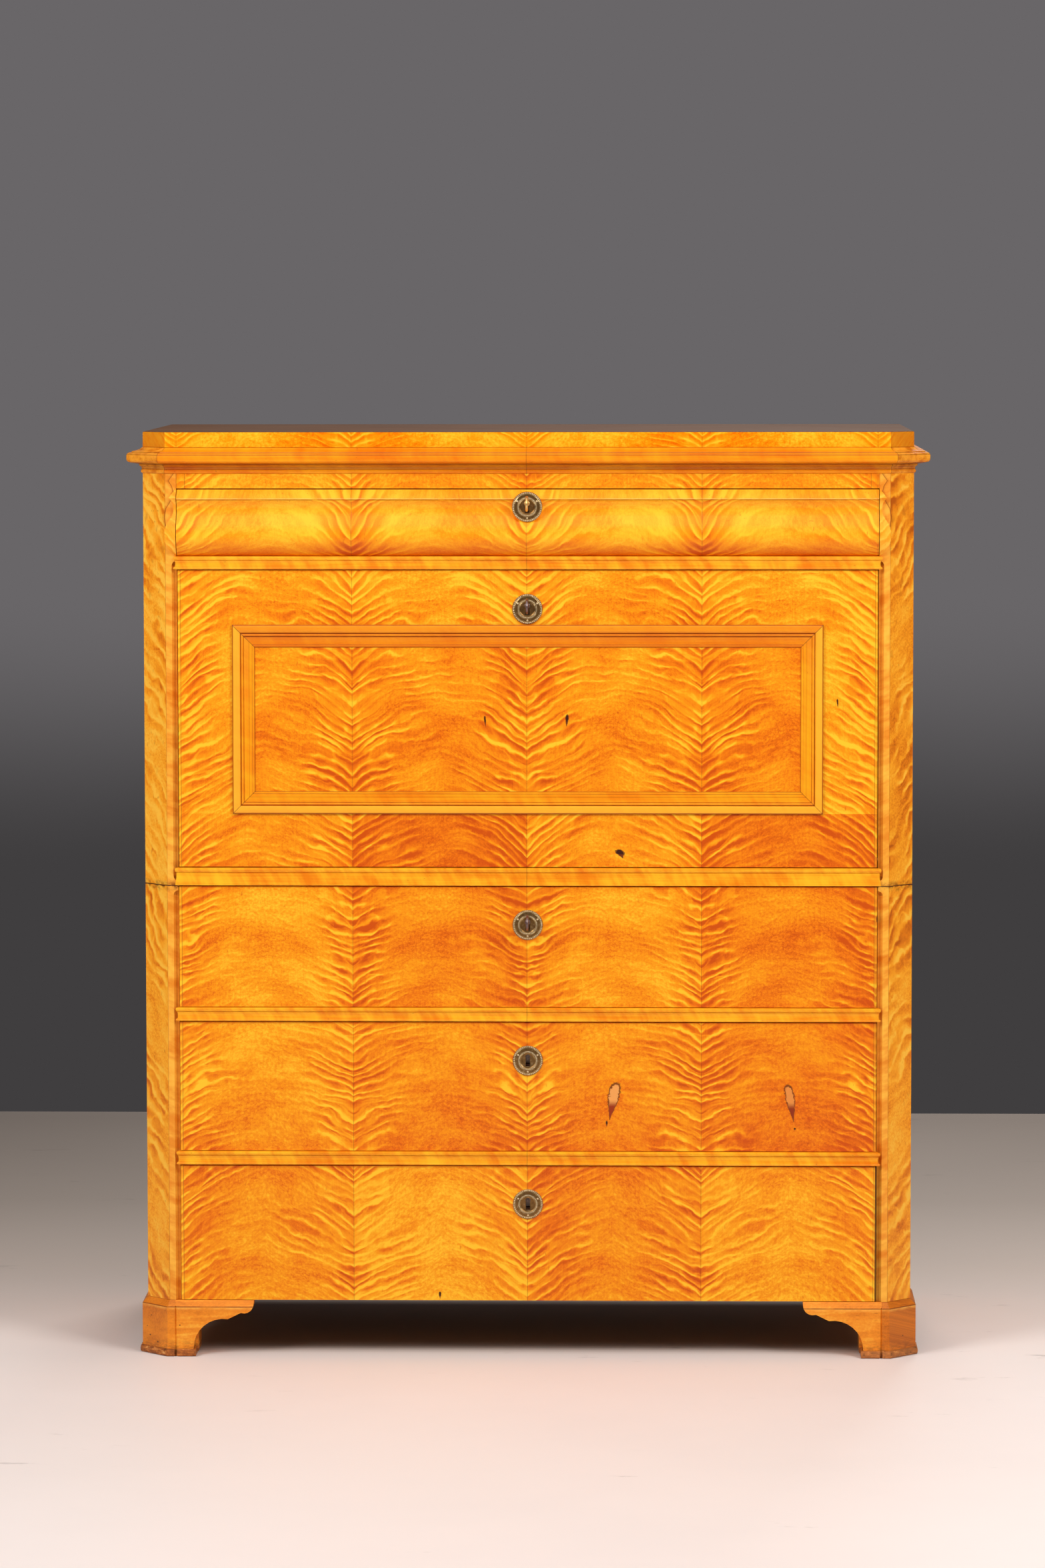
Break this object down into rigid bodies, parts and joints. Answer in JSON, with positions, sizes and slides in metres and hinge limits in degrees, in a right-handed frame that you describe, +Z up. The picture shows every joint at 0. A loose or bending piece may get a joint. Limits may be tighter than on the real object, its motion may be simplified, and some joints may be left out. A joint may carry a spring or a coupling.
{
  "type": "fall front secretaire",
  "caption": "Free-standing writing cabinet: a fall that drops to a desk over long drawers, a swelling frieze drawer under a moulded cornice, canted corners, bracket feet.",
  "frame": {"origin": "on the floor, under the middle of the whole piece's bounds", "axes": "+X to the right seen from the front, +Y from the front to the back, +Z up"},
  "size_m": [1.1652, 0.569, 1.35],
  "materials": {
    "figured_birch": "flame figured birch veneer, shellac polished, satin",
    "moulded_birch": "solid birch mouldings, shellac polished, satin",
    "foot_birch": "solid birch, polished, worn at the shoes",
    "inner_birch": "birch, lightly polished",
    "pine": "plain pine, unpolished",
    "leather": "dark brown, worn matt",
    "brass": "patinated brown, bright on its high parts",
    "bright_brass": "bright from handling",
    "steel": "grey, worn bright",
    "iron": "dark, oiled"
  },
  "bodies": {
    "cabinet": {"foot_front_left": "foot_birch", "foot_front_right": "foot_birch", "foot_rear_left": "foot_birch", "foot_rear_right": "foot_birch", "lower_side_left": "figured_birch", "upper_side_left": "figured_birch", "lower_post_left": "figured_birch", "upper_post_left": "figured_birch", "lower_side_right": "figured_birch", "upper_side_right": "figured_birch", "lower_post_right": "figured_birch", "upper_post_right": "figured_birch", "lower_back": "pine", "upper_back": "pine", "lower_bottom_board": "pine", "lower_top_board": "pine", "upper_dust_board": "pine", "lower_dust_board": "pine", "upper_divider": "moulded_birch", "lower_divider": "moulded_birch", "joint_rail": "moulded_birch", "frieze_divider": "moulded_birch", "cornice": "moulded_birch", "top_board": "figured_birch", "frieze_rail": "figured_birch", "desk_board": "inner_birch", "interior_drawer_nest": "inner_birch", "interior_pigeonholes": "inner_birch"},
    "frieze_drawer": {"frieze_drawer_front": "figured_birch", "frieze_drawer_box": "pine", "frieze_lock": "iron", "frieze_escutcheon": "brass"},
    "top_drawer": {"top_drawer_front": "figured_birch", "top_drawer_box": "pine", "top_lock": "iron", "top_escutcheon": "brass"},
    "middle_drawer": {"middle_drawer_front": "figured_birch", "middle_drawer_box": "pine", "middle_lock": "iron", "middle_escutcheon": "brass"},
    "bottom_drawer": {"bottom_drawer_front": "figured_birch", "bottom_drawer_box": "pine", "bottom_lock": "iron", "bottom_escutcheon": "brass"},
    "fall": {"fall_panel": "figured_birch", "fall_moulding": "moulded_birch", "writing_surface": "leather", "fall_stay_left": "brass", "fall_stay_right": "brass", "fall_lock": "iron", "fall_escutcheon": "brass"},
    "frieze_bolt": {"frieze_bolt": "iron"},
    "frieze_key": {"frieze_key": "bright_brass"},
    "fall_bolt": {"fall_bolt": "iron"},
    "fall_key": {"fall_key": "steel"},
    "top_bolt": {"top_bolt": "iron"},
    "top_key": {"top_key": "steel"},
    "small_drawer_left": {"small_drawer_left": "inner_birch"},
    "small_drawer_centre": {"small_drawer_centre": "inner_birch"},
    "small_drawer_right": {"small_drawer_right": "inner_birch"}
  },
  "joints": [
    {"name": "frieze_drawer_slide", "type": "slide", "parent": "cabinet", "child": "frieze_drawer", "axis": [0, -1, 0], "range_m": [0, 0.38]},
    {"name": "top_drawer_slide", "type": "slide", "parent": "cabinet", "child": "top_drawer", "axis": [0, -1, 0], "range_m": [0, 0.4]},
    {"name": "middle_drawer_slide", "type": "slide", "parent": "cabinet", "child": "middle_drawer", "axis": [0, -1, 0], "range_m": [0, 0.4]},
    {"name": "bottom_drawer_slide", "type": "slide", "parent": "cabinet", "child": "bottom_drawer", "axis": [0, -1, 0], "range_m": [0, 0.4]},
    {"name": "fall_hinge", "type": "hinge", "parent": "cabinet", "child": "fall", "pos_m": [0, -0.22445, 0.7297], "axis": [1, 0, 0], "range_deg": [0, 90]},
    {"name": "frieze_key_turn", "type": "hinge", "parent": "frieze_drawer", "child": "frieze_key", "pos_m": [0, -0.23545, 1.2475], "axis": [0, 1, 0], "range_deg": [0, 360]},
    {"name": "frieze_bolt_throw", "type": "slide", "parent": "frieze_drawer", "child": "frieze_bolt", "axis": [0, 0, 1], "range_m": [0, 0.0075]},
    {"name": "fall_key_turn", "type": "hinge", "parent": "fall", "child": "fall_key", "pos_m": [0, -0.23545, 1.0994], "axis": [0, 1, 0], "range_deg": [0, 360]},
    {"name": "fall_bolt_throw", "type": "slide", "parent": "fall", "child": "fall_bolt", "axis": [0, 0, 1], "range_m": [0, 0.0075]},
    {"name": "top_key_turn", "type": "hinge", "parent": "top_drawer", "child": "top_key", "pos_m": [0, -0.23545, 0.6397], "axis": [0, 1, 0], "range_deg": [0, 360]},
    {"name": "top_bolt_throw", "type": "slide", "parent": "top_drawer", "child": "top_bolt", "axis": [0, 0, 1], "range_m": [0, 0.0075]},
    {"name": "small_drawer_left_slide", "type": "slide", "parent": "cabinet", "child": "small_drawer_left", "axis": [0, -1, 0], "range_m": [0, 0.17]},
    {"name": "small_drawer_centre_slide", "type": "slide", "parent": "cabinet", "child": "small_drawer_centre", "axis": [0, -1, 0], "range_m": [0, 0.17]},
    {"name": "small_drawer_right_slide", "type": "slide", "parent": "cabinet", "child": "small_drawer_right", "axis": [0, -1, 0], "range_m": [0, 0.17]}
  ],
  "couplings": [
    {"joint": "frieze_bolt_throw", "follows": "frieze_key_turn", "m_per_rad": 0.00119},
    {"joint": "fall_bolt_throw", "follows": "fall_key_turn", "m_per_rad": 0.00119},
    {"joint": "top_bolt_throw", "follows": "top_key_turn", "m_per_rad": 0.00119}
  ]
}
